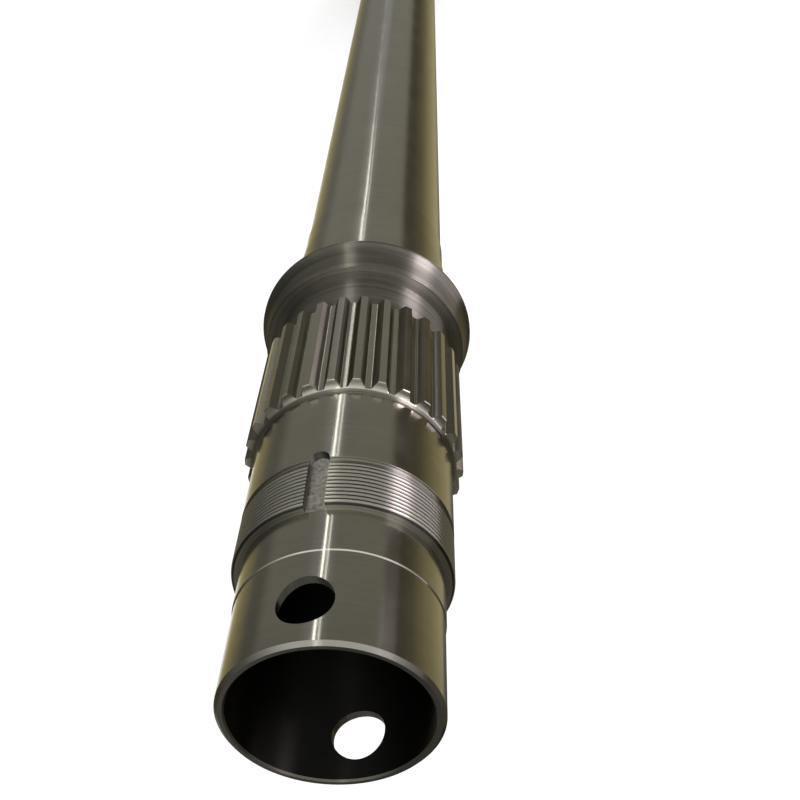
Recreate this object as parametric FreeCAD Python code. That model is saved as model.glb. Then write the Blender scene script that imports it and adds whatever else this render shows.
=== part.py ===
import FreeCAD, Part
import math
import os

# A hollow splined shaft, turned, hobbed and drilled from one bar.
# It stands on its plain far end at z = 0, with its axis on Z. The threaded
# and splined end is at the top. All sizes are in millimetres.

# Lengths along the axis, from the far end up
tube_length = 679.2
step_length = 26.9
boss_length = 57.8
rim_length = 2.7
cove_length = 6.5
collar_length = 9.3
neck_length = 23.9
spline_length = 68.5
lip_length = 0.6
journal_length = 40.6
relief_length = 5.0
thread_length = 20.0
land_length = 19.6
pilot_length = 39.4

# Bore and walls
bore_diameter = 70.0
pilot_wall = 3.5
tube_wall = 4.6
land_rise = 0.4

# Outer diameters
step_diameter = 80.6
boss_diameter = 82.0
journal_diameter = 85.0
thread_diameter = 84.9

# Collar, cove and rim, each one further out than the one before
collar_over_crests = 2.5
collar_taper = 0.8
cove_rise = 2.25
rim_chamfer = 0.95

# Thread, whose relief groove goes a little below its root
thread_pitch = 2.0
relief_depth_in_pitches = 0.65

# Involute spline with a 30 degree pressure angle, centred on its flanks. The
# root fillet is given by its height above the floor of a tooth space.
spline_module = 3.25
spline_teeth = 28
spline_pressure_angle = 30.0
spline_profile_shift = 0.065
spline_addendum = 0.545
spline_dedendum = 0.555
spline_root_fillet = 0.7
spline_front_depth = 2.3
spline_turn = 4.0
neck_depth = 0.8
lip_height = 0.5

# Cross-hole through both walls of the pilot, and the tab slot of the thread.
# Both lie on the front of the shaft, and the spline is turned a little from them.
front_angle = -90.0
cross_hole_diameter = 20.0
cross_hole_from_end = 18.3
slot_width = 8.0
slot_below_land = 0.1
slot_in_journal = 4.0

# Edge breaks and fillets
near_end_chamfer = 1.35
bore_chamfer = 0.65
far_end_chamfer = 1.0
step_chamfer = 0.35
thread_chamfer = 1.0
relief_corner = 0.6
journal_chamfer = 0.5
crest_chamfer = 0.3
neck_blend_rise = 0.5
neck_blend_length = 6.6
collar_chamfer = 0.5
boss_corner = 2.0

# Heights of the shoulders
tube_top = tube_length
step_top = tube_top + step_length
boss_top = step_top + boss_length
rim_top = boss_top + rim_length
cove_top = rim_top + cove_length
collar_top = cove_top + collar_length
spline_bottom = collar_top + neck_length
spline_top = spline_bottom + spline_length
lip_top = spline_top + lip_length
journal_top = lip_top + journal_length
relief_top = journal_top + relief_length
thread_top = relief_top + thread_length
land_top = thread_top + land_length
shaft_top = land_top + pilot_length

# Radii, from the bore and the spline outwards
bore = bore_diameter / 2
tube = bore + tube_wall
pilot = bore + pilot_wall
land = pilot + land_rise
step = step_diameter / 2
boss = boss_diameter / 2
journal = journal_diameter / 2
lip = journal + lip_height
thread = thread_diameter / 2
relief = thread - relief_depth_in_pitches * thread_pitch
pitch_circle = spline_module * spline_teeth / 2
crest = pitch_circle + (spline_profile_shift + spline_addendum) * spline_module
root = pitch_circle + (spline_profile_shift - spline_dedendum) * spline_module
neck = root - neck_depth
collar_face = crest + collar_over_crests
collar = collar_face + collar_taper
cove = collar + cove_rise
rim = cove + rim_chamfer

flank_shares = (0, 0.2, 0.4, 0.6, 0.8, 1)
axis_base = FreeCAD.Vector(0, 0, 0)
axis_up = FreeCAD.Vector(0, 0, 1)
cut_margin = 1.0


class Outline:
    """A half section in the XZ plane, drawn point by point."""

    def __init__(self, radius, height):
        self.here = FreeCAD.Vector(radius, 0, height)
        self.start = self.here
        self.edges = []

    def line(self, radius, height):
        there = FreeCAD.Vector(radius, 0, height)
        self.edges.append(Part.LineSegment(self.here, there).toShape())
        self.here = there

    def arc(self, through_radius, through_height, radius, height):
        through = FreeCAD.Vector(through_radius, 0, through_height)
        there = FreeCAD.Vector(radius, 0, height)
        self.edges.append(Part.Arc(self.here, through, there).toShape())
        self.here = there

    def revolve(self):
        self.line(self.start.x, self.start.z)
        face = Part.Face(Part.Wire(self.edges))
        return face.revolve(axis_base, axis_up, 360)


def draw_far_half(outline):
    """The plain tube, its two steps, the rim, the cove and the collar."""
    outline.line(tube - far_end_chamfer, 0)
    outline.line(tube, far_end_chamfer)
    outline.line(tube, tube_top)
    outline.line(step - step_chamfer, tube_top)
    outline.line(step, tube_top + step_chamfer)
    outline.line(step, step_top)
    outline.line(boss - step_chamfer, step_top)
    outline.line(boss, step_top + step_chamfer)
    outline.line(boss, boss_top - boss_corner)
    outline.line(boss + boss_corner, boss_top)
    outline.line(rim, boss_top)
    outline.line(rim, rim_top - rim_chamfer)
    outline.line(cove, rim_top)

    # the cove runs up from the rim and ends in line with the collar
    cove_radius = (cove_length ** 2 + cove_rise ** 2) / (2 * cove_rise)
    half_turn = math.asin(cove_length / cove_radius) / 2
    outline.arc(collar + cove_radius * (1 - math.cos(half_turn)),
                cove_top - cove_radius * math.sin(half_turn),
                collar, cove_top)
    outline.line(collar_face, collar_top - collar_chamfer)
    outline.line(collar_face - collar_chamfer, collar_top)


def draw_near_half(outline):
    """The neck, the spline band, the journal, the thread and the pilot."""
    outline.line(neck + neck_blend_rise, collar_top)

    # the neck leaves the collar in a shallow hollow and runs on straight
    blend_radius = (neck_blend_length ** 2 + neck_blend_rise ** 2) / (2 * neck_blend_rise)
    half_turn = math.asin(neck_blend_length / blend_radius) / 2
    blend_top = collar_top + neck_blend_length
    outline.arc(neck + blend_radius * (1 - math.cos(half_turn)),
                blend_top - blend_radius * math.sin(half_turn),
                neck, blend_top)
    outline.line(neck, spline_bottom)
    outline.line(crest - crest_chamfer, spline_bottom)
    outline.line(crest, spline_bottom + crest_chamfer)
    crest_top = spline_top - spline_front_depth
    outline.line(crest, crest_top - crest_chamfer)
    outline.line(crest - crest_chamfer, crest_top)

    # the tooth fronts are hollow: they sweep down and out to the lip
    rise = crest - crest_chamfer - lip
    front_radius = (spline_front_depth ** 2 + rise ** 2) / (2 * spline_front_depth)
    half_turn = math.asin(rise / front_radius) / 2
    outline.arc(lip + rise - front_radius * math.sin(half_turn),
                crest_top + front_radius * (1 - math.cos(half_turn)),
                lip, spline_top)
    outline.line(lip, lip_top)
    outline.line(journal, lip_top)
    outline.line(journal, journal_top - journal_chamfer)
    outline.line(journal - journal_chamfer, journal_top)
    outline.line(relief + relief_corner, journal_top)
    outline.line(relief, journal_top + relief_corner)
    outline.line(relief, relief_top - (thread - relief))
    outline.line(thread, relief_top)
    outline.line(thread, thread_top - thread_chamfer)
    outline.line(thread - thread_chamfer, thread_top)
    outline.line(land, thread_top)
    outline.line(land, land_top)
    outline.line(pilot, land_top)
    outline.line(pilot, shaft_top - near_end_chamfer)
    outline.line(pilot - near_end_chamfer, shaft_top)


def make_blank():
    """The turned blank with its through-bore."""
    outline = Outline(bore + bore_chamfer, 0)
    draw_far_half(outline)
    draw_near_half(outline)
    outline.line(bore + bore_chamfer, shaft_top)
    outline.line(bore, shaft_top - bore_chamfer)
    outline.line(bore, bore_chamfer)
    return outline.revolve()


def involute(angle):
    """The involute function of a pressure angle in radians."""
    return math.tan(angle) - angle


def half_space_angle(radius):
    """Half the angle of one tooth space at a radius, in radians."""
    pressure = math.radians(spline_pressure_angle)
    base = pitch_circle * math.cos(pressure)
    tooth = spline_module * (math.pi / 2 + 2 * spline_profile_shift * math.tan(pressure))
    space = math.pi * spline_module - tooth
    here = math.acos(base / radius)
    return space / (2 * pitch_circle) - involute(pressure) + involute(here)


def polar(radius, angle, height):
    return FreeCAD.Vector(radius * math.cos(angle), radius * math.sin(angle), height)


def make_arc(centre_angle, ends, bottom):
    """An arc through three points, each a radius and an angle from the centre."""
    points = [polar(radius, centre_angle + angle, bottom) for radius, angle in ends]
    return Part.Arc(*points).toShape()


def make_flank(centre_angle, side, radii, bottom):
    """One involute flank of a tooth space, on its left or its right side."""
    points = [polar(r, centre_angle + side * half_space_angle(r), bottom) for r in radii]
    curve = Part.BSplineCurve()
    curve.interpolate(points)
    return curve.toShape()


def make_space_cutter(centre_angle, bottom, top):
    """A prism of one tooth space: two involute flanks on a filleted floor."""
    foot = root + spline_root_fillet
    tip = crest + cut_margin
    radii = [foot + (tip - foot) * share for share in flank_shares]
    wide = half_space_angle(foot)
    lid_end = half_space_angle(tip)

    # the root fillet reaches as far along the floor as it does up the flank
    corner = half_space_angle(root)
    lean = root * (wide - corner)
    reach = math.hypot(lean, spline_root_fillet)
    half_chord = math.hypot(lean + reach, spline_root_fillet) / 2
    share = reach / (reach + half_chord) / 2
    floor_end = corner - reach / root
    bend_radius = root + share * spline_root_fillet
    bend = corner + share * (lean - reach) / root

    edges = [make_arc(centre_angle, [(tip, -lid_end), (tip, 0), (tip, lid_end)], bottom),
             make_arc(centre_angle, [(root, -floor_end), (root, 0), (root, floor_end)], bottom)]
    for side in (-1, 1):
        fillet = [(foot, side * wide), (bend_radius, side * bend), (root, side * floor_end)]
        edges.append(make_arc(centre_angle, fillet, bottom))
        edges.append(make_flank(centre_angle, side, radii, bottom))
    face = Part.Face(Part.Wire(Part.__sortEdges__(edges)))
    return face.extrude(FreeCAD.Vector(0, 0, top - bottom))


def make_spline_cutters():
    """All the tooth spaces, open at both ends of the teeth."""
    bottom = spline_bottom - cut_margin
    pitch_angle = 2 * math.pi / spline_teeth
    first = math.radians(front_angle + spline_turn)
    return [make_space_cutter(first + i * pitch_angle, bottom, lip_top)
            for i in range(spline_teeth)]


def turn_to_front(shape):
    """Turn what is drawn along +X to the front of the shaft."""
    shape.rotate(axis_base, axis_up, front_angle)
    return shape


def make_cross_hole():
    """A drill through both walls of the pilot."""
    reach = pilot + cut_margin
    start = FreeCAD.Vector(-reach, 0, shaft_top - cross_hole_from_end)
    drill = Part.makeCylinder(cross_hole_diameter / 2, 2 * reach, start, FreeCAD.Vector(1, 0, 0))
    return turn_to_front(drill)


def make_slot():
    """A milled slot with a flat floor, open at the thread and round in the journal."""
    floor = land - slot_below_land
    depth = max(thread, journal) + cut_margin - floor
    half_width = slot_width / 2
    end_centre = journal_top - slot_in_journal + half_width
    length = thread_top + cut_margin - end_centre
    trough = Part.makeBox(depth, slot_width, length,
                          FreeCAD.Vector(floor, -half_width, end_centre))
    end = Part.makeCylinder(half_width, depth, FreeCAD.Vector(floor, 0, end_centre),
                            FreeCAD.Vector(1, 0, 0))
    return turn_to_front(trough.fuse(end))


def make_shaft():
    cutters = make_spline_cutters() + [make_cross_hole(), make_slot()]
    return make_blank().cut(cutters)


shaft = make_shaft()
os.makedirs("parts", exist_ok=True)
shaft.exportStep("parts/splined_shaft.step")
box = shaft.BoundBox
print("splined_shaft", len(shaft.Solids), "solid, valid", shaft.isValid())
print("height", round(box.ZLength, 3), "across the rim", round(2 * rim, 3))
print("crest diameter", round(2 * crest, 3), "root diameter", round(2 * root, 3))
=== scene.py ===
import math

import bmesh
import bpy
from mathutils import Matrix, Vector


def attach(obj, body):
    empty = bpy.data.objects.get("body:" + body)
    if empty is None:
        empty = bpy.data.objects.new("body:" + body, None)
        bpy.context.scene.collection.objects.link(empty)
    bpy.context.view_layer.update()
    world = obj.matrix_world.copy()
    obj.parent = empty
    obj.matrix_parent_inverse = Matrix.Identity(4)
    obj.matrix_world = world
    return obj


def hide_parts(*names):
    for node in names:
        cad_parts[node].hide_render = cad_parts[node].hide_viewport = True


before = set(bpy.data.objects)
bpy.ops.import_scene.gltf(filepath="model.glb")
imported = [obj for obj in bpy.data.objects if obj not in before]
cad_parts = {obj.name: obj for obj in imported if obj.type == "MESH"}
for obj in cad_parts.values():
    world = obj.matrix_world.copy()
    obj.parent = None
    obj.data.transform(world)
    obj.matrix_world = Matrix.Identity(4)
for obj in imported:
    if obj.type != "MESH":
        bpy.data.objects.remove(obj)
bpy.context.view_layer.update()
print("frame loaded")

# The mesh is drawn in millimetres and scaled to metres at the end.
metre = 1000.0
shaft = {
    # the stretches of the shaft, from its plain far end up
    "lengths": {"tube": 679.2, "step": 26.9, "boss": 57.8, "rim": 2.7, "cove": 6.5,
                "collar": 9.3, "neck": 23.9, "spline": 68.5, "lip": 0.6, "journal": 40.6,
                "relief": 5.0, "thread": 20.0, "land": 19.6, "pilot": 39.4},
    "columns": 336,
    "bore": 35.0,
    "tube": 39.6,
    "step": 40.3,
    "boss": 41.0,
    "pilot": 38.5,
    "land": 38.9,
    "journal": 42.5,
    "lip": 43.0,
    "neck": 43.1075,
    "neckBlendRise": 0.5,
    "neckBlendLength": 6.6,
    "neckBlendSteps": 8,
    "collarFace": 49.9825,
    "collar": 50.7825,
    "cove": 53.0325,
    "coveSteps": 10,
    "rim": 53.9825,
    "relief": 41.15,
    "reliefCorner": 0.6,
    "bossCorner": 2.0,
    "nearChamfer": 1.35,
    "boreChamfer": 0.65,
    "farChamfer": 1.0,
    "landChamfer": 0.4,
    "smallChamfer": 0.35,
    "edgeChamfer": 0.25,
    "rimChamfer": 0.95,
    # how far the outline draws the thread's shoulder, and the gap that it leaves in the
    # relief groove before the thread: both are bridged to the thread's ends
    "shoulderDrawn": 1.2,
    "reliefGap": 0.6,
}

top = {}
height = 0.0
for name, length in shaft["lengths"].items():
    height += length
    top[name] = height

# How close two places have to be to count as one, in millimetres
slack = {
    "height": 0.01,
    "ring": 0.1,
    "threadWeld": 0.01,
    "cutWeld": 0.001,
    "weld": 0.0005,
}


def drawProfile(mesh, points):
    verts = [mesh.verts.new((radius, 0.0, z)) for radius, z in points]
    edges = [mesh.edges.new(pair) for pair in zip(verts, verts[1:])]
    return verts + edges


def spinProfile(points, columns):
    mesh = bmesh.new()
    parts = drawProfile(mesh, points)
    bmesh.ops.spin(mesh, geom=parts, cent=(0, 0, 0), axis=(0, 0, 1), dvec=(0, 0, 0),
                   angle=2 * math.pi, steps=columns, use_merge=True)
    return mesh


def joinMeshes(parts):
    whole = bmesh.new()
    for part in parts:
        data = bpy.data.meshes.new("part")
        part.to_mesh(data)
        part.free()
        whole.from_mesh(data)
        bpy.data.meshes.remove(data)
    return whole


def arcPoints(centreRadius, centreZ, radius, first, last, count):
    # angles in degrees from straight outwards, counted upwards
    points = []
    for i in range(count + 1):
        angle = math.radians(first + (last - first) * i / count)
        points.append((centreRadius + radius * math.cos(angle), centreZ + radius * math.sin(angle)))
    return points


def openRing(mesh, z, low, high):
    # the boundary edges at one height, between two radii
    ring = []
    for edge in mesh.edges:
        if len(edge.link_faces) == 1:
            inPlace = [abs(v.co.z - z) < slack["height"] and low < v.co.xy.length < high
                       for v in edge.verts]
            if all(inPlace):
                ring.append(edge)
    return ring


def ringAt(z, radius):
    return z, radius - slack["ring"], radius + slack["ring"]


def bridge(mesh, first, second):
    bmesh.ops.bridge_loops(mesh, edges=openRing(mesh, *first) + openRing(mesh, *second))


# The thread is swept round an eighth of a turn, copied on and cut off at both ends.
thread = {
    "radius": 42.45,
    "pitch": 2.0,
    "depth": 1.15,
    "crestFlat": 0.66,
    "rootFlat": 0.3,
    "chamfer": 1.2,
    "runIn": 1.4,
    "sectors": 8,
    "turnsBelow": 2,
    "spareTurns": 3,
}
threadLow = top["relief"] - (thread["radius"] - shaft["relief"]) - thread["runIn"]


def buildThread():
    mesh = bmesh.new()
    pitch = thread["pitch"]
    depth = thread["depth"]
    outer = thread["radius"]
    foot = outer - depth
    halfCrest = thread["crestFlat"] / 2
    halfRoot = thread["rootFlat"] / 2
    middle = pitch / 2
    flank = middle - halfRoot - halfCrest
    shape = [(outer, -halfCrest), (outer, halfCrest),
             (outer - depth / 3, halfCrest + flank / 3),
             (outer - depth * 2 / 3, halfCrest + flank * 2 / 3),
             (foot, middle - halfRoot), (foot, middle + halfRoot),
             (outer - depth * 2 / 3, middle + halfRoot + flank / 3),
             (outer - depth / 3, middle + halfRoot + flank * 2 / 3)]
    low = threadLow
    high = top["thread"]
    turns = math.ceil((high - low) / pitch) + thread["spareTurns"]
    points = []
    for turn in range(turns):
        for radius, z in shape:
            points.append((radius, low - thread["turnsBelow"] * pitch + turn * pitch + z))
    sectors = thread["sectors"]
    sectorAngle = 2 * math.pi / sectors
    bmesh.ops.spin(mesh, geom=drawProfile(mesh, points), cent=(0, 0, 0), axis=(0, 0, 1),
                   dvec=(0, 0, pitch / shaft["columns"]), angle=sectorAngle,
                   steps=shaft["columns"] // sectors, use_merge=False)
    sector = mesh.verts[:] + mesh.edges[:] + mesh.faces[:]
    for i in range(1, sectors):
        copied = bmesh.ops.duplicate(mesh, geom=sector)["geom"]
        verts = [part for part in copied if isinstance(part, bmesh.types.BMVert)]
        bmesh.ops.rotate(mesh, verts=verts, matrix=Matrix.Rotation(i * sectorAngle, 3, "Z"))
        bmesh.ops.translate(mesh, verts=verts, vec=(0, 0, i * pitch / sectors))
    bmesh.ops.remove_doubles(mesh, verts=mesh.verts, dist=slack["threadWeld"])
    for z, normal in ((low, (0, 0, -1)), (high, (0, 0, 1))):
        everything = mesh.verts[:] + mesh.edges[:] + mesh.faces[:]
        bmesh.ops.bisect_plane(mesh, geom=everything, dist=slack["weld"],
                               plane_co=(0, 0, z), plane_no=normal, clear_outer=True)
    # both ends of the thread are turned down to a cone
    for vert in mesh.verts:
        radius = vert.co.xy.length
        limit = min(shaft["relief"] + vert.co.z - low, outer - thread["chamfer"] + high - vert.co.z)
        if radius > limit:
            vert.co.xy *= limit / radius
    return mesh


# The teeth are one ring of points, extruded station by station.
spline = {
    "teeth": 28,
    "module": 3.25,
    "pressureAngle": 30.0,
    "shift": 0.065,
    "addendum": 0.545,
    "dedendum": 0.555,
    "rootFillet": 0.7,
    "frontDepth": 2.3,
    "crestChamfer": 0.3,
    "turn": 4.0,
    "flankPoints": 4,
    "leastFlank": 0.01,
    "crestPoints": 3,
    "frontSteps": 14,
}
pitchCircle = spline["module"] * spline["teeth"] / 2
crest = pitchCircle + (spline["shift"] + spline["addendum"]) * spline["module"]
root = pitchCircle + (spline["shift"] - spline["dedendum"]) * spline["module"]


def halfSpace(radius):
    pressure = math.radians(spline["pressureAngle"])
    tooth = spline["module"] * (math.pi / 2 + 2 * spline["shift"] * math.tan(pressure))
    space = math.pi * spline["module"] - tooth
    here = math.acos(min(1.0, pitchCircle * math.cos(pressure) / radius))
    return space / (2 * pitchCircle) - (math.tan(pressure) - pressure) + math.tan(here) - here


def halfTooth(limit):
    # radius and angle from the middle of a tooth space to the middle of a tooth
    foot = root + spline["rootFillet"]
    wide = halfSpace(foot)
    corner = halfSpace(root)
    lean = root * (wide - corner)
    chord = math.hypot(lean, spline["rootFillet"])
    bend = chord * math.sqrt((chord + lean) / (chord - lean))
    sweep = math.acos(lean / chord)
    points = [(root, 0.0), (root, (corner - chord / root) / 2)]
    for share in (0, 1 / 3, 2 / 3):
        turn = share * sweep
        points.append((root + bend * (1 - math.cos(turn)),
                       corner + (bend * math.sin(turn) - chord) / root))
    points.append((foot, wide))
    reach = max(limit, foot + spline["leastFlank"])
    for i in range(1, spline["flankPoints"] + 1):
        radius = foot + (reach - foot) * i / spline["flankPoints"]
        points.append((radius, halfSpace(radius)))
    last = points[-1][1]
    middle = math.pi / spline["teeth"]
    for i in range(1, spline["crestPoints"] + 1):
        points.append((reach, last + (middle - last) * i / spline["crestPoints"]))
    return [(min(radius, limit), angle) for radius, angle in points]


def toothRing(limit):
    half = halfTooth(limit)
    first = math.radians(spline["turn"] - 90)
    ring = []
    for tooth in range(spline["teeth"]):
        centre = first + tooth * 2 * math.pi / spline["teeth"]
        ring += [(radius, centre + angle) for radius, angle in half[:-1]]
        centre += 2 * math.pi / spline["teeth"]
        ring += [(radius, centre - angle) for radius, angle in reversed(half[1:])]
    return ring


def frontStations():
    # the tooth fronts are hollow: flat at the crests, then down and out to the lip
    rise = crest - spline["crestChamfer"] - shaft["lip"]
    depth = spline["frontDepth"]
    hollow = (depth ** 2 + rise ** 2) / (2 * depth)
    last = math.asin(rise / hollow)
    stations = []
    for i in range(spline["frontSteps"] + 1):
        angle = last * i / spline["frontSteps"]
        stations.append((crest - spline["crestChamfer"] - hollow * math.sin(angle),
                         top["spline"] - depth + hollow * (1 - math.cos(angle))))
    return stations


def buildSpline():
    mesh = bmesh.new()
    chamfer = spline["crestChamfer"]
    crestTop = top["spline"] - spline["frontDepth"]
    stations = [(crest - chamfer, top["neck"]), (crest, top["neck"] + chamfer),
                (crest, crestTop - chamfer)] + frontStations()
    stations.append((shaft["lip"], top["lip"]))
    column = mesh.verts.layers.int.new("column")
    ring = toothRing(stations[0][0])
    verts = []
    for i, (radius, angle) in enumerate(ring):
        vert = mesh.verts.new((radius * math.cos(angle), radius * math.sin(angle), stations[0][1]))
        vert[column] = i
        verts.append(vert)
    edges = [mesh.edges.new(pair) for pair in zip(verts, verts[1:] + verts[:1])]
    for limit, z in stations[1:]:
        ring = toothRing(limit)
        raised = bmesh.ops.extrude_edge_only(mesh, edges=edges)["geom"]
        edges = [part for part in raised if isinstance(part, bmesh.types.BMEdge)]
        for part in raised:
            if isinstance(part, bmesh.types.BMVert):
                radius, angle = ring[part[column]]
                part.co = (radius * math.cos(angle), radius * math.sin(angle), z)
    mesh.verts.layers.int.remove(column)
    return mesh


def farProfile():
    # from the neck down the outside, through the bore and back to the thread
    s = shaft
    small = s["smallChamfer"]
    rise = s["neckBlendRise"]
    length = s["neckBlendLength"]
    hollow = (length ** 2 + rise ** 2) / (2 * rise)
    turn = math.degrees(math.asin(length / hollow))
    points = [(s["neck"], top["neck"])]
    points += arcPoints(s["neck"] + hollow, top["collar"] + length, hollow, 180, 180 + turn,
                        s["neckBlendSteps"])
    points += [(s["collarFace"] - s["edgeChamfer"], top["collar"]),
               (s["collarFace"], top["collar"] - s["edgeChamfer"])]
    rise = s["cove"] - s["collar"]
    length = top["cove"] - top["rim"]
    hollow = (length ** 2 + rise ** 2) / (2 * rise)
    turn = math.degrees(math.asin(length / hollow))
    points += arcPoints(s["collar"] + hollow, top["cove"], hollow, 180, 180 + turn,
                        s["coveSteps"])
    points += [(s["rim"], top["rim"] - s["rimChamfer"]), (s["rim"], top["boss"]),
               (s["boss"] + s["bossCorner"], top["boss"]),
               (s["boss"], top["boss"] - s["bossCorner"]),
               (s["boss"], top["step"] + small), (s["boss"] - small, top["step"]),
               (s["step"], top["step"]), (s["step"], top["tube"] + small),
               (s["step"] - small, top["tube"]), (s["tube"], top["tube"]),
               (s["tube"], s["farChamfer"]), (s["tube"] - s["farChamfer"], 0.0),
               (s["bore"] + s["boreChamfer"], 0.0), (s["bore"], s["boreChamfer"]),
               (s["bore"], top["pilot"] - s["boreChamfer"]),
               (s["bore"] + s["boreChamfer"], top["pilot"]),
               (s["pilot"] - s["nearChamfer"], top["pilot"]),
               (s["pilot"], top["pilot"] - s["nearChamfer"]), (s["pilot"], top["land"]),
               (s["land"] - s["landChamfer"], top["land"]),
               (s["land"], top["land"] - s["landChamfer"]), (s["land"], top["thread"]),
               (s["land"] + s["shoulderDrawn"], top["thread"])]
    return points


def journalProfile():
    s = shaft
    return [(s["journal"], top["lip"]), (s["journal"], top["journal"] - s["edgeChamfer"]),
            (s["journal"] - s["edgeChamfer"], top["journal"]),
            (s["relief"] + s["reliefCorner"], top["journal"]),
            (s["relief"], top["journal"] + s["reliefCorner"]),
            (s["relief"], threadLow - s["reliefGap"])]


# Cutters for the cross-hole and for the tab slot of the thread, both on the front.
cuts = {
    "holeRadius": 10.0,
    "holeFromEnd": 18.3,
    "holeSides": 128,
    "holeCutterLength": 120.0,
    "slotWidth": 8.0,
    # just outside the land, so that the slot doesn't notch it
    "slotFloor": 38.95,
    "slotInJournal": 4.0,
    "slotSides": 64,
    "slotPastThread": 1.0,
    "slotCutterDepth": 5.0,
}


def addObject(name, mesh):
    data = bpy.data.meshes.new(name)
    mesh.to_mesh(data)
    mesh.free()
    thing = bpy.data.objects.new(name, data)
    bpy.context.scene.collection.objects.link(thing)
    return thing


def toMetres(mesh):
    bmesh.ops.scale(mesh, vec=(1 / metre, 1 / metre, 1 / metre), verts=mesh.verts)


def makeHoleCutter():
    mesh = bmesh.new()
    turned = Matrix.Rotation(math.radians(90), 4, "X")
    turned.translation = (0, 0, top["pilot"] - cuts["holeFromEnd"])
    bmesh.ops.create_cone(mesh, cap_ends=True, segments=cuts["holeSides"],
                          depth=cuts["holeCutterLength"], radius1=cuts["holeRadius"],
                          radius2=cuts["holeRadius"], matrix=turned)
    toMetres(mesh)
    return addObject("holeCutter", mesh)


def makeSlotCutter():
    mesh = bmesh.new()
    half = cuts["slotWidth"] / 2
    centre = top["journal"] - cuts["slotInJournal"] + half
    bmesh.ops.create_circle(mesh, segments=cuts["slotSides"], radius=half, cap_ends=True,
                            matrix=Matrix.Rotation(math.radians(90), 4, "X"))
    # the round end stays, and the upper half is drawn up past the thread
    near = slack["cutWeld"]
    for vert in mesh.verts:
        if vert.co.z > near:
            vert.co.x = math.copysign(half, vert.co.x) if abs(vert.co.x) > near else 0.0
            vert.co.z = top["thread"] + cuts["slotPastThread"] - centre
    bmesh.ops.translate(mesh, vec=(0, -cuts["slotFloor"], centre), verts=mesh.verts)
    raised = bmesh.ops.extrude_face_region(mesh, geom=mesh.faces[:])["geom"]
    outer = [part for part in raised if isinstance(part, bmesh.types.BMVert)]
    bmesh.ops.translate(mesh, vec=(0, -cuts["slotCutterDepth"], 0), verts=outer)
    bmesh.ops.remove_doubles(mesh, verts=mesh.verts, dist=slack["cutWeld"])
    bmesh.ops.recalc_face_normals(mesh, faces=mesh.faces)
    toMetres(mesh)
    return addObject("slotCutter", mesh)


def cutAway(thing, cutters):
    for cutter in cutters:
        modifier = thing.modifiers.new(cutter.name, "BOOLEAN")
        modifier.operation = "DIFFERENCE"
        modifier.solver = "EXACT"
        modifier.object = cutter
    graph = bpy.context.evaluated_depsgraph_get()
    data = bpy.data.meshes.new_from_object(thing.evaluated_get(graph))
    thing.modifiers.clear()
    thing.data = data
    for cutter in cutters:
        bpy.data.objects.remove(cutter)


def buildShaft():
    columns = shaft["columns"]
    mesh = joinMeshes([spinProfile(farProfile(), columns), buildSpline(),
                       spinProfile(journalProfile(), columns), buildThread()])
    bridge(mesh, ringAt(top["neck"], shaft["neck"]), (top["neck"], root - slack["ring"], crest))
    bridge(mesh, ringAt(top["lip"], shaft["lip"]), ringAt(top["lip"], shaft["journal"]))
    bridge(mesh, ringAt(threadLow, shaft["relief"]),
           ringAt(threadLow - shaft["reliefGap"], shaft["relief"]))
    bridge(mesh, ringAt(top["thread"], thread["radius"] - thread["chamfer"]),
           ringAt(top["thread"], shaft["land"] + shaft["shoulderDrawn"]))
    bmesh.ops.remove_doubles(mesh, verts=mesh.verts, dist=slack["weld"])
    bmesh.ops.recalc_face_normals(mesh, faces=mesh.faces)
    toMetres(mesh)
    openEdges = sum(1 for edge in mesh.edges if len(edge.link_faces) != 2)
    print("shaft drawn, open edges", openEdges)
    thing = addObject("splinedShaft", mesh)
    cutAway(thing, [makeHoleCutter(), makeSlotCutter()])
    return thing


# Sharp edges by angle, and a number for each kind of surface that the steel reads
surface = {"ground": 0.0, "turned": 1.0, "teeth": 2.0, "thread": 3.0, "milled": 4.0,
           "drilled": 5.0, "bore": 6.0, "edge": 7.0, "front": 8.0, "face": 9.0,
           "bevel": 10.0}
sharpAngle = 24.0

# Radii and distances within which a face counts as one kind, in millimetres
zone = {
    "hole": 0.15,
    "bore": 0.1,
    "slotSide": 0.1,
    "slotEnd": 1.0,
    "slotFloorTop": 40.0,
    "slotWallTop": 42.6,
    "tooth": 0.05,
    "toothFront": 0.3,
    "threadStart": 0.3,
    "threadFoot": 40.9,
    "relief": 0.3,
    "frontStart": 3.0,
    "frontFoot": 0.35,
    "nearEnd": 2.0,
    "nearFace": 1.5,
    "rimCorner": 1.0,
}

# Limits on the part of a face's normal that points along an axis or outwards
normalPart = {
    "wall": 0.3,
    "sheerWall": 0.1,
    "flat": 0.9,
    "slope": 0.2,
    "toothFloor": 0.97,
}


def isInSlot(centre):
    low = top["journal"] - cuts["slotInJournal"] - zone["slotEnd"]
    half = cuts["slotWidth"] / 2 + zone["slotSide"]
    return low < centre.z < top["thread"] and abs(centre.x) < half and centre.y < 0


def isOnTeeth(centre, normal):
    low = top["neck"] - slack["height"]
    high = top["spline"] - zone["toothFront"]
    return low < centre.z < high and abs(normal.z) < normalPart["wall"]


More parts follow.
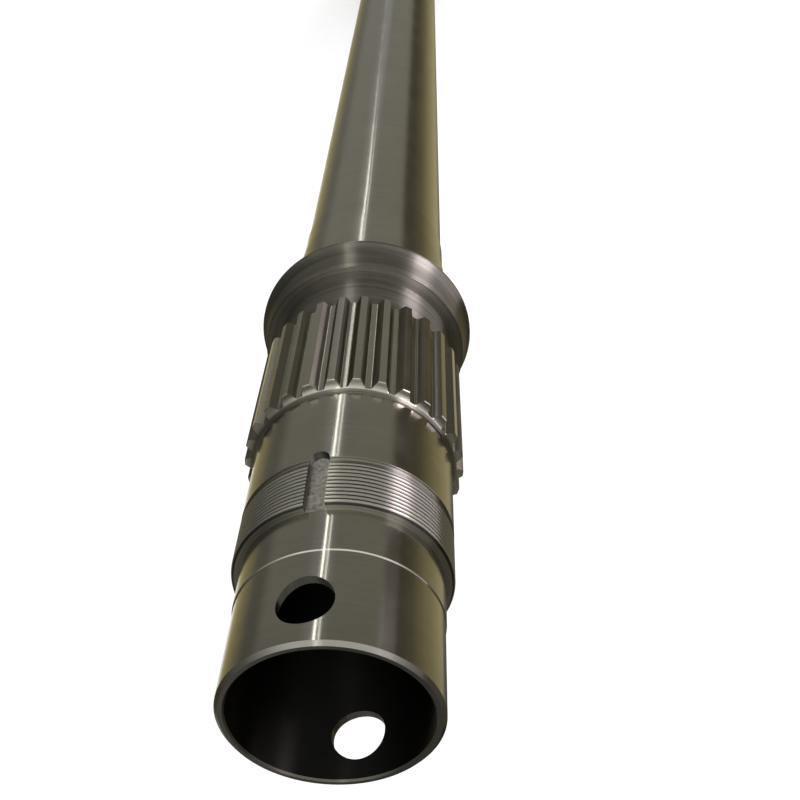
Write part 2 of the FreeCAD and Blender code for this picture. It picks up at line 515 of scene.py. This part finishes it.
def kindOf(face):
    centre = face.calc_center_median() * metre
    radius = centre.xy.length
    normal = face.normal
    facing = normal.dot(Vector((centre.x, centre.y, 0)).normalized())
    fromHole = math.hypot(centre.x, centre.z - top["pilot"] + cuts["holeFromEnd"])
    onHole = abs(fromHole - cuts["holeRadius"]) < zone["hole"]
    if onHole and abs(normal.y) < normalPart["wall"]:
        return "drilled"
    if radius < shaft["bore"] + zone["bore"] and facing < 0:
        return "bore"
    if isInSlot(centre):
        if abs(normal.y) > normalPart["flat"] and radius < zone["slotFloorTop"]:
            return "milled"
        if abs(normal.y) < normalPart["sheerWall"] and radius < zone["slotWallTop"]:
            return "drilled"
    if isOnTeeth(centre, normal):
        isFloor = radius < root + zone["tooth"] and facing > normalPart["toothFloor"]
        return "ground" if isFloor or radius > crest - zone["tooth"] else "teeth"
    onThread = threadLow - zone["threadStart"] < centre.z < top["thread"] - slack["height"]
    if onThread and radius > zone["threadFoot"]:
        return "thread"
    if top["journal"] - zone["relief"] < centre.z < threadLow:
        return "turned"
    if top["spline"] - zone["frontStart"] < centre.z < top["lip"] + slack["ring"]:
        return "front" if radius > root - zone["frontFoot"] else "turned"
    if normal.z > normalPart["slope"] and centre.z > top["pilot"] - zone["nearEnd"]:
        return "face" if radius < shaft["pilot"] - zone["nearFace"] else "bevel"
    onRim = top["rim"] - zone["rimCorner"] < centre.z < top["collar"]
    if normalPart["slope"] < abs(normal.z) < normalPart["flat"] and not onRim:
        return "edge"
    if top["boss"] < centre.z < top["neck"] or abs(normal.z) > normalPart["sheerWall"]:
        return "turned"
    return "ground"


def finishMesh(thing):
    mesh = bmesh.new()
    mesh.from_mesh(thing.data)
    bmesh.ops.remove_doubles(mesh, verts=mesh.verts, dist=slack["cutWeld"] / metre)
    kind = mesh.faces.layers.float.new("surfaceKind")
    for face in mesh.faces:
        face.smooth = True
        face[kind] = surface[kindOf(face)]
    for edge in mesh.edges:
        if len(edge.link_faces) == 2:
            edge.smooth = edge.calc_face_angle(0) < math.radians(sharpAngle)
    openEdges = sum(1 for edge in mesh.edges if len(edge.link_faces) != 2)
    triangles = sum(len(face.verts) - 2 for face in mesh.faces)
    mesh.to_mesh(thing.data)
    mesh.free()
    print("shaft finished, triangles", triangles, "open edges", openEdges)


splinedShaft = buildShaft()
finishMesh(splinedShaft)


# Steel: one material, whose colour and roughness follow the kind of surface
steel = {
    "colour": (0.50, 0.485, 0.42),
    "warmth": (1.0, 0.93, 0.76),
    "anisotropy": 1.0,
    "anisotropyTurn": 0.25,
    # share of the colour, its warmth and the roughness for each kind of surface
    "ground": (1.0, 0.0, 0.118),
    "turned": (0.52, 0.22, 0.38),
    "teeth": (0.42, 0.50, 0.30),
    "thread": (1.0, 0.1, 0.40),
    "milled": (0.82, 0.0, 0.50),
    "drilled": (0.33, 0.10, 0.36),
    # the bore's near-black tone is painted shade: it darkens the inside of the tube, where shade
    # falls
    "bore": (0.045, 0.0, 0.42),
    "edge": (0.85, 0.0, 0.13),
    "front": (0.85, 0.1, 0.2),
    "face": (0.27, 0.1, 0.25),
    "bevel": (0.52, 0.0, 0.16),
    "rampTop": 1.2,
    # noise drawn out round the shaft: scale along it and round it, detail, roughness
    "rings": (900.0, 30.0, 3.0, 0.5),
    "cuts": (620.0, 12.0, 4.0, 0.7),
    "scratches": (2600.0, 320.0, 2.0, 0.5),
    # noise that is the same every way: scale, detail, roughness
    "stains": (38.0, 5.0, 0.65),
    "mottling": (620.0, 2.0, 0.5),
    "ringContrast": 0.1,
    "cutContrast": 0.75,
    "stainContrast": 0.14,
    "mottlingContrast": 1.0,
    "stainRoughness": 0.35,
    "bumpStrength": 0.08,
    "bumpHeight": 0.05,
    # tone of the thread's roots and crests, and the radii in millimetres between which it runs
    "threadRoot": 0.14,
    "threadCrest": 1.25,
    "rootToneFrom": 41.85,
    "rootToneTo": 42.3,
}
# how near two numbers have to be for a Compare node
compareReach = 0.01


def addNode(tree, kind, **values):
    node = tree.nodes.new(kind)
    for name, value in values.items():
        setattr(node, name, value)
    return node


def math2(tree, operation, first, second):
    # a Math node whose two inputs are sockets or numbers
    node = addNode(tree, "ShaderNodeMath", operation=operation)
    node.inputs[2].default_value = compareReach
    for i, value in enumerate((first, second)):
        if isinstance(value, (int, float)):
            node.inputs[i].default_value = value
        else:
            tree.links.new(value, node.inputs[i])
    return node.outputs[0]


def rampNode(tree, stops):
    ramp = addNode(tree, "ShaderNodeValToRGB")
    elements = ramp.color_ramp.elements
    for i, (place, colour) in enumerate(stops):
        stop = elements[i] if i < 2 else elements.new(place)
        stop.position = place
        stop.color = (*colour, 1)
    return ramp


def kindRamp(tree, kind, column):
    # a stepped ramp that gives each kind of surface its own number
    count = len(surface)
    ramp = rampNode(tree, [(number / count, (steel[name][column] / steel["rampTop"],) * 3)
                           for name, number in surface.items()])
    ramp.color_ramp.interpolation = "CONSTANT"
    share = math2(tree, "DIVIDE", kind, float(count))
    tree.links.new(math2(tree, "ADD", share, 0.5 / count), ramp.inputs["Fac"])
    return math2(tree, "MULTIPLY", ramp.outputs["Color"], steel["rampTop"])


def plainNoise(tree, place, scale, detail, roughness):
    noise = addNode(tree, "ShaderNodeTexNoise")
    noise.inputs["Scale"].default_value = scale
    noise.inputs["Detail"].default_value = detail
    noise.inputs["Roughness"].default_value = roughness
    tree.links.new(place, noise.inputs["Vector"])
    return noise.outputs["Fac"]


def drawnOutNoise(tree, along, parts, fine, slow, detail, roughness):
    place = addNode(tree, "ShaderNodeCombineXYZ")
    tree.links.new(math2(tree, "MULTIPLY", along, fine), place.inputs["X"])
    tree.links.new(math2(tree, "MULTIPLY", parts.outputs["X"], slow), place.inputs["Y"])
    tree.links.new(math2(tree, "MULTIPLY", parts.outputs["Y"], slow), place.inputs["Z"])
    return plainNoise(tree, place.outputs[0], 1.0, detail, roughness)


def noiseTone(tree, noise, contrast):
    # noise about a half becomes a tone about nought
    return math2(tree, "MULTIPLY", math2(tree, "SUBTRACT", noise, 0.5), contrast * 2)


def onlyOn(tree, kind, name, tone):
    return math2(tree, "MULTIPLY", tone, math2(tree, "COMPARE", kind, surface[name]))


def threadDepthTone(tree, kind, radius):
    # the thread's roots are darker than its crests
    depthRamp = addNode(tree, "ShaderNodeMapRange")
    depthRamp.inputs["From Min"].default_value = steel["rootToneFrom"] / metre
    depthRamp.inputs["From Max"].default_value = steel["rootToneTo"] / metre
    depthRamp.inputs["To Min"].default_value = steel["threadRoot"]
    depthRamp.inputs["To Max"].default_value = steel["threadCrest"]
    tree.links.new(radius, depthRamp.inputs["Value"])
    tone = math2(tree, "SUBTRACT", depthRamp.outputs["Result"], 1.0)
    return math2(tree, "ADD", onlyOn(tree, kind, "thread", tone), 1.0)


def steelColour(tree, warm, tone):
    tint = addNode(tree, "ShaderNodeMix", data_type="RGBA", blend_type="MULTIPLY")
    tint.inputs["A"].default_value = (*steel["colour"], 1)
    tint.inputs["B"].default_value = (*steel["warmth"], 1)
    tree.links.new(warm, tint.inputs["Factor"])
    colour = addNode(tree, "ShaderNodeVectorMath", operation="SCALE")
    tree.links.new(tint.outputs["Result"], colour.inputs[0])
    tree.links.new(tone, colour.inputs["Scale"])
    return colour.outputs["Vector"]


def makeSteel():
    material = bpy.data.materials.new("groundSteel")
    material.use_nodes = True
    tree = material.node_tree
    link = tree.links.new
    shader = tree.nodes["Principled BSDF"]
    shader.inputs["Metallic"].default_value = 1.0
    shader.inputs["Anisotropic"].default_value = steel["anisotropy"]
    shader.inputs["Anisotropic Rotation"].default_value = steel["anisotropyTurn"]

    # the grain runs round the shaft
    place = addNode(tree, "ShaderNodeTexCoord").outputs["Object"]
    grain = addNode(tree, "ShaderNodeVectorMath", operation="CROSS_PRODUCT")
    grain.inputs[0].default_value = (0, 0, 1)
    link(place, grain.inputs[1])
    link(grain.outputs["Vector"], shader.inputs["Tangent"])

    parts = addNode(tree, "ShaderNodeSeparateXYZ")
    link(place, parts.inputs[0])
    flat = addNode(tree, "ShaderNodeVectorMath", operation="MULTIPLY")
    flat.inputs[1].default_value = (1, 1, 0)
    link(place, flat.inputs[0])
    length = addNode(tree, "ShaderNodeVectorMath", operation="LENGTH")
    link(flat.outputs["Vector"], length.inputs[0])
    radius = length.outputs["Value"]
    along = math2(tree, "ADD", parts.outputs["Z"], radius)

    # turning rings everywhere, broader cutting marks on the turned flange and steps,
    # short fine scratches in the bump, stains, and mottling on the slot's milled floor
    rings = drawnOutNoise(tree, along, parts, *steel["rings"])
    marks = drawnOutNoise(tree, along, parts, *steel["cuts"])
    scratches = drawnOutNoise(tree, along, parts, *steel["scratches"])
    stains = plainNoise(tree, place, *steel["stains"])
    mottling = plainNoise(tree, place, *steel["mottling"])

    kind = addNode(tree, "ShaderNodeAttribute", attribute_name="surfaceKind").outputs["Fac"]
    ringTone = noiseTone(tree, rings, steel["ringContrast"])
    stainTone = noiseTone(tree, stains, steel["stainContrast"])
    markTone = noiseTone(tree, marks, steel["cutContrast"])
    mottlingTone = noiseTone(tree, mottling, steel["mottlingContrast"])
    tone = math2(tree, "ADD", math2(tree, "ADD", ringTone, stainTone), 1.0)
    tone = math2(tree, "ADD", tone, onlyOn(tree, kind, "turned", markTone))
    tone = math2(tree, "ADD", tone, onlyOn(tree, kind, "milled", mottlingTone))
    share = math2(tree, "MULTIPLY", kindRamp(tree, kind, 0), threadDepthTone(tree, kind, radius))
    tone = math2(tree, "MULTIPLY", tone, share)
    link(steelColour(tree, kindRamp(tree, kind, 1), tone), shader.inputs["Base Color"])

    blur = math2(tree, "MULTIPLY", stainTone, steel["stainRoughness"])
    link(math2(tree, "ADD", kindRamp(tree, kind, 2), blur), shader.inputs["Roughness"])

    bump = addNode(tree, "ShaderNodeBump")
    bump.inputs["Strength"].default_value = steel["bumpStrength"]
    bump.inputs["Distance"].default_value = steel["bumpHeight"] / metre
    link(math2(tree, "ADD", rings, scratches), bump.inputs["Height"])
    link(bump.outputs["Normal"], shader.inputs["Normal"])
    return material


splinedShaft.data.materials.clear()
splinedShaft.data.materials.append(makeSteel())
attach(splinedShaft, "root")
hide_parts("splined_shaft")
print("shaft in place")

# Room and light: a white floor and world, and a tent of soft panels round the
# shaft that only its gloss shows. The panels' tones were tuned against the photo.
room = {
    "floorSize": 14.0,
    "floorColour": (0.92, 0.92, 0.92, 1),
    "floorGlow": 0.12,
    "floorRoughness": 0.9,
    "tentRadius": 0.9,
    "tentPole": 0.01,
    "tentColumns": 72,
    "tentLow": -1.7,
    "tentHigh": 2.6,
    # angle from +X in degrees, brightness, warmth
    "tentTones": [(0, 0.16, 0.6), (10, 0.26, 1.4), (24, 0.36, 1.8), (38, 0.55, 1.6),
                  (46, 1.3, 0.4), (64, 1.3, 0.3), (74, 0.12, 0.3), (106, 0.12, 0.3),
                  (114, 0.50, 1.4), (130, 0.42, 1.6), (150, 0.30, 1.7), (163, 0.20, 1.7),
                  (173, 0.12, 1.6), (193, 0.06, 1.6), (205, 0.08, 1.2), (213, 0.25, 0.6),
                  (262, 0.25, 0.4), (270, 0.32, 0.1), (282, 0.32, 0.1), (292, 0.25, 0.4),
                  (334, 0.25, 0.4), (346, 0.15, 0.6)],
    # height in metres, share of the tone, white added on the side of the camera
    "tentHeights": [(-1.7, 1.0, 0.0), (-0.38, 1.0, 0.0), (-0.2, 0.84, 0.0), (0.25, 0.84, 0.0),
                    (0.6, 0.3, 0.0), (1.05, 0.25, 0.0),
                    (1.25, 0.25, 0.9), (1.66, 0.2, 1.4), (2.3, 0.07, 1.1), (2.6, 0.07, 0.6)],
    "whiteSide": [(0, 0.15), (155, 0.1), (178, 0.35), (205, 1.0), (300, 1.0), (325, 0.5),
                  (345, 0.2)],
    # how much green and blue a warmth of 1 takes away
    "warmGreen": 0.08,
    "warmBlue": 0.32,
}


def makeFloor():
    mesh = bmesh.new()
    bmesh.ops.create_grid(mesh, x_segments=1, y_segments=1, size=room["floorSize"] / 2)
    floor = addObject("floor", mesh)
    material = bpy.data.materials.new("paleFloor")
    material.use_nodes = True
    tree = material.node_tree
    shader = tree.nodes["Principled BSDF"]
    shader.inputs["Base Color"].default_value = room["floorColour"]
    shader.inputs["Roughness"].default_value = room["floorRoughness"]
    rays = addNode(tree, "ShaderNodeLightPath")
    seen = math2(tree, "MAXIMUM", rays.outputs["Is Camera Ray"], rays.outputs["Is Glossy Ray"])
    seen = math2(tree, "MAXIMUM", seen, rays.outputs["Is Transmission Ray"])
    shader.inputs["Emission Color"].default_value = (1, 1, 1, 1)
    tree.links.new(math2(tree, "MULTIPLY", seen, room["floorGlow"]),
                   shader.inputs["Emission Strength"])
    floor.data.materials.append(material)
    # the gloss sees the soft panels and not this floor, so its white isn't on the steel
    floor.visible_glossy = False


def warmLight(light, warmth):
    green = light * (1 - room["warmGreen"] * warmth)
    blue = light * (1 - room["warmBlue"] * warmth)
    return light, green, blue


def heightRamp(tree, level, column):
    low = room["tentLow"]
    span = room["tentHigh"] - low
    ramp = rampNode(tree, [((row[0] - low) / span, (row[column],) * 3)
                           for row in room["tentHeights"]])
    tree.links.new(level, ramp.inputs["Fac"])
    return ramp.outputs["Color"]


def angleRamp(tree, turn, rows):
    ramp = rampNode(tree, [(angle / 360, colour) for angle, colour in rows])
    tree.links.new(turn, ramp.inputs["Fac"])
    return ramp.outputs["Color"]


def makePanels():
    # a glow by the angle round the shaft and by the height
    material = bpy.data.materials.new("softPanels")
    material.use_nodes = True
    tree = material.node_tree
    link = tree.links.new
    tree.nodes.clear()
    place = addNode(tree, "ShaderNodeTexCoord").outputs["Object"]
    turned = addNode(tree, "ShaderNodeVectorRotate", rotation_type="Z_AXIS")
    turned.inputs["Angle"].default_value = math.radians(180)
    radial = addNode(tree, "ShaderNodeTexGradient", gradient_type="RADIAL")
    link(place, turned.inputs["Vector"])
    link(turned.outputs[0], radial.inputs["Vector"])
    turn = radial.outputs["Fac"]
    tones = angleRamp(tree, turn, [(angle, warmLight(light, warmth))
                                   for angle, light, warmth in room["tentTones"]])
    sides = angleRamp(tree, turn, [(angle, (share,) * 3) for angle, share in room["whiteSide"]])

    parts = addNode(tree, "ShaderNodeSeparateXYZ")
    link(place, parts.inputs[0])
    low = room["tentLow"]
    level = math2(tree, "DIVIDE", math2(tree, "SUBTRACT", parts.outputs["Z"], low),
                  room["tentHigh"] - low)
    white = addNode(tree, "ShaderNodeVectorMath", operation="MULTIPLY")
    link(heightRamp(tree, level, 2), white.inputs[0])
    link(sides, white.inputs[1])
    light = addNode(tree, "ShaderNodeVectorMath", operation="MULTIPLY_ADD")
    link(tones, light.inputs[0])
    link(heightRamp(tree, level, 1), light.inputs[1])
    link(white.outputs[0], light.inputs[2])
    glow = addNode(tree, "ShaderNodeEmission")
    out = addNode(tree, "ShaderNodeOutputMaterial")
    link(light.outputs[0], glow.inputs["Color"])
    link(glow.outputs[0], out.inputs["Surface"])
    return material


def makeTent():
    mesh = bmesh.new()
    low = room["tentLow"]
    high = room["tentHigh"]
    pole = room["tentPole"]
    profile = drawProfile(mesh, [(pole, low), (room["tentRadius"], low),
                                 (room["tentRadius"], high), (pole, high)])
    bmesh.ops.spin(mesh, geom=profile, cent=(0, 0, 0), axis=(0, 0, 1), dvec=(0, 0, 0),
                   angle=2 * math.pi, steps=room["tentColumns"], use_merge=True)
    tent = addObject("softPanels", mesh)
    tent.data.materials.append(makePanels())
    tent.visible_camera = False
    tent.visible_diffuse = False
    tent.visible_shadow = False


# Lamps: two tall narrow strips for the line of light, and two softer ones from the side
lampDistance = 0.8
lamps = {
    "strip": {"angle": 275.2, "z": 0.6, "width": 0.022, "height": 3.6, "light": 4.0,
              "colour": (1.0, 1.0, 0.98)},
    "secondStrip": {"angle": 270.6, "z": 0.6, "width": 0.02, "height": 3.6, "light": 1.5,
                    "colour": (1.0, 1.0, 0.98)},
    "side": {"angle": 208.0, "z": 1.0, "width": 0.22, "height": 0.6, "light": 7.0,
             "colour": (0.95, 0.86, 1.0)},
    "softSide": {"angle": 192.0, "z": 1.0, "width": 0.8, "height": 0.6, "light": 1.9,
                 "colour": (0.96, 0.88, 1.0)},
}


def makeLamp(name):
    values = lamps[name]
    data = bpy.data.lights.new(name, "AREA")
    data.shape = "RECTANGLE"
    data.size = values["width"]
    data.size_y = values["height"]
    data.color = values["colour"]
    data.energy = values["light"] * math.pi * values["width"] * values["height"]
    lamp = bpy.data.objects.new(name, data)
    turn = math.radians(values["angle"])
    lamp.location = (lampDistance * math.cos(turn), lampDistance * math.sin(turn), values["z"])
    # the lamp shines level at the axis
    lamp.rotation_euler = (math.radians(90), 0, turn + math.radians(90))
    lamp.visible_camera = False
    bpy.context.scene.collection.objects.link(lamp)


makeFloor()
makeTent()
for name in lamps:
    makeLamp(name)
world = bpy.data.worlds.new("studio")
bpy.context.scene.world = world
world.use_nodes = True
background = world.node_tree.nodes["Background"]
background.inputs["Color"].default_value = (1, 1, 1, 1)
background.inputs["Strength"].default_value = 1.0
print("room and lamps in place")

camera = {
    "lens": 43.49,
    "sensor": 36.0,
    "nearest": 0.01,
    "place": (-0.08545168, -0.26013587, 1.19255056),
    "turn": (-36.33723, 1.31459, 167.53320),
}
lens = bpy.data.cameras.new("camera")
lens.lens = camera["lens"]
lens.sensor_width = camera["sensor"]
lens.clip_start = camera["nearest"]
viewer = bpy.data.objects.new("camera", lens)
viewer.location = camera["place"]
viewer.rotation_euler = [math.radians(angle) for angle in camera["turn"]]
bpy.context.scene.collection.objects.link(viewer)
bpy.context.scene.camera = viewer
bpy.context.scene.view_settings.view_transform = "Standard"
